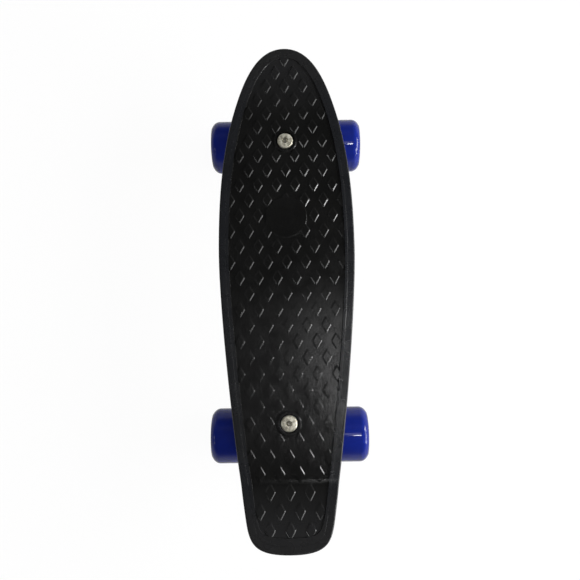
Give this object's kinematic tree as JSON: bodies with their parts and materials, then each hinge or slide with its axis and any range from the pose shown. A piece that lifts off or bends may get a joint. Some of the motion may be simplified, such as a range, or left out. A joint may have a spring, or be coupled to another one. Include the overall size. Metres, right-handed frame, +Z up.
{
  "type": "mini skateboard",
  "caption": "Small plastic cruiser skateboard: kicktail deck with raised lozenge grip, leaning trucks on rubber bushings and smooth wheels on ball bearings.",
  "frame": {"origin": "on the floor under the middle of the deck's length and width", "axes": "+X to the rider's right when facing the nose, +Y to the nose, +Z up"},
  "size_m": [0.1446, 0.4344, 0.1026],
  "materials": {
    "deck_plastic": "satin black moulded plastic",
    "wheel_urethane": "glossy royal blue cast urethane",
    "bright_steel": "zinc plated, satin",
    "bearing_steel": "ground and polished",
    "cast_metal": "as cast, tumbled",
    "plate_plastic": "matt black moulded plastic",
    "bushing_rubber": "matt",
    "cup_plastic": "matt off-white",
    "cage_brass": "stamped brass"
  },
  "bodies": {
    "deck_body": {"deck": "deck_plastic", "front_base_plate": "plate_plastic", "front_pivot_cup": "cup_plastic", "front_kingpin_bolt": "bright_steel", "front_upper_cup_washer": "bright_steel", "front_upper_bushing": "bushing_rubber", "front_lower_bushing": "bushing_rubber", "front_lower_cup_washer": "bright_steel", "front_kingpin_nut": "bright_steel", "rear_base_plate": "plate_plastic", "rear_pivot_cup": "cup_plastic", "rear_kingpin_bolt": "bright_steel", "rear_upper_cup_washer": "bright_steel", "rear_upper_bushing": "bushing_rubber", "rear_lower_bushing": "bushing_rubber", "rear_lower_cup_washer": "bright_steel", "rear_kingpin_nut": "bright_steel"},
    "front_hanger_body": {"front_hanger": "cast_metal", "front_axle": "bright_steel", "front_left_outboard_inner_ring": "bearing_steel", "front_left_inboard_inner_ring": "bearing_steel", "front_left_axle_washer": "bright_steel", "front_left_axle_nut": "bright_steel", "front_right_outboard_inner_ring": "bearing_steel", "front_right_inboard_inner_ring": "bearing_steel", "front_right_axle_washer": "bright_steel", "front_right_axle_nut": "bright_steel"},
    "rear_hanger_body": {"rear_hanger": "cast_metal", "rear_axle": "bright_steel", "rear_left_outboard_inner_ring": "bearing_steel", "rear_left_inboard_inner_ring": "bearing_steel", "rear_left_axle_washer": "bright_steel", "rear_left_axle_nut": "bright_steel", "rear_right_outboard_inner_ring": "bearing_steel", "rear_right_inboard_inner_ring": "bearing_steel", "rear_right_axle_washer": "bright_steel", "rear_right_axle_nut": "bright_steel"},
    "front_left_wheel_body": {"front_left_wheel": "wheel_urethane", "front_left_outboard_outer_ring": "bearing_steel", "front_left_inboard_outer_ring": "bearing_steel"},
    "front_right_wheel_body": {"front_right_wheel": "wheel_urethane", "front_right_outboard_outer_ring": "bearing_steel", "front_right_inboard_outer_ring": "bearing_steel"},
    "rear_left_wheel_body": {"rear_left_wheel": "wheel_urethane", "rear_left_outboard_outer_ring": "bearing_steel", "rear_left_inboard_outer_ring": "bearing_steel"},
    "rear_right_wheel_body": {"rear_right_wheel": "wheel_urethane", "rear_right_outboard_outer_ring": "bearing_steel", "rear_right_inboard_outer_ring": "bearing_steel"},
    "front_left_balls_body": {"front_left_outboard_ball_cage": "cage_brass", "front_left_inboard_ball_cage": "cage_brass"},
    "front_right_balls_body": {"front_right_outboard_ball_cage": "cage_brass", "front_right_inboard_ball_cage": "cage_brass"},
    "rear_left_balls_body": {"rear_left_outboard_ball_cage": "cage_brass", "rear_left_inboard_ball_cage": "cage_brass"},
    "rear_right_balls_body": {"rear_right_outboard_ball_cage": "cage_brass", "rear_right_inboard_ball_cage": "cage_brass"}
  },
  "joints": [
    {"name": "front_lean", "type": "hinge", "parent": "deck_body", "child": "front_hanger_body", "pos_m": [0, 0.13133, 0.0509], "axis": [0, 0.9397, 0.342], "range_deg": [-10, 10], "stiffness_Nm_per_rad": 20, "deforming": ["front_upper_bushing", "front_lower_bushing"]},
    {"name": "rear_lean", "type": "hinge", "parent": "deck_body", "child": "rear_hanger_body", "pos_m": [0, -0.11693, 0.0509], "axis": [0, -0.9397, 0.342], "range_deg": [-10, 10], "stiffness_Nm_per_rad": 20, "deforming": ["rear_upper_bushing", "rear_lower_bushing"]},
    {"name": "front_left_spin", "type": "hinge", "parent": "front_hanger_body", "child": "front_left_wheel_body", "pos_m": [-0.0569, 0.14663, 0.025], "axis": [1, 0, 0], "continuous": true},
    {"name": "front_right_spin", "type": "hinge", "parent": "front_hanger_body", "child": "front_right_wheel_body", "pos_m": [0.0569, 0.14663, 0.025], "axis": [1, 0, 0], "continuous": true},
    {"name": "rear_left_spin", "type": "hinge", "parent": "rear_hanger_body", "child": "rear_left_wheel_body", "pos_m": [-0.0569, -0.13223, 0.025], "axis": [1, 0, 0], "continuous": true},
    {"name": "rear_right_spin", "type": "hinge", "parent": "rear_hanger_body", "child": "rear_right_wheel_body", "pos_m": [0.0569, -0.13223, 0.025], "axis": [1, 0, 0], "continuous": true},
    {"name": "front_left_balls_spin", "type": "hinge", "parent": "front_hanger_body", "child": "front_left_balls_body", "pos_m": [-0.0569, 0.14663, 0.025], "axis": [1, 0, 0], "continuous": true},
    {"name": "front_right_balls_spin", "type": "hinge", "parent": "front_hanger_body", "child": "front_right_balls_body", "pos_m": [0.0569, 0.14663, 0.025], "axis": [1, 0, 0], "continuous": true},
    {"name": "rear_left_balls_spin", "type": "hinge", "parent": "rear_hanger_body", "child": "rear_left_balls_body", "pos_m": [-0.0569, -0.13223, 0.025], "axis": [1, 0, 0], "continuous": true},
    {"name": "rear_right_balls_spin", "type": "hinge", "parent": "rear_hanger_body", "child": "rear_right_balls_body", "pos_m": [0.0569, -0.13223, 0.025], "axis": [1, 0, 0], "continuous": true}
  ],
  "couplings": [
    {"joint": "front_left_balls_spin", "follows": "front_left_spin", "ratio": 0.625},
    {"joint": "front_right_balls_spin", "follows": "front_right_spin", "ratio": 0.625},
    {"joint": "rear_left_balls_spin", "follows": "rear_left_spin", "ratio": 0.625},
    {"joint": "rear_right_balls_spin", "follows": "rear_right_spin", "ratio": 0.625}
  ]
}
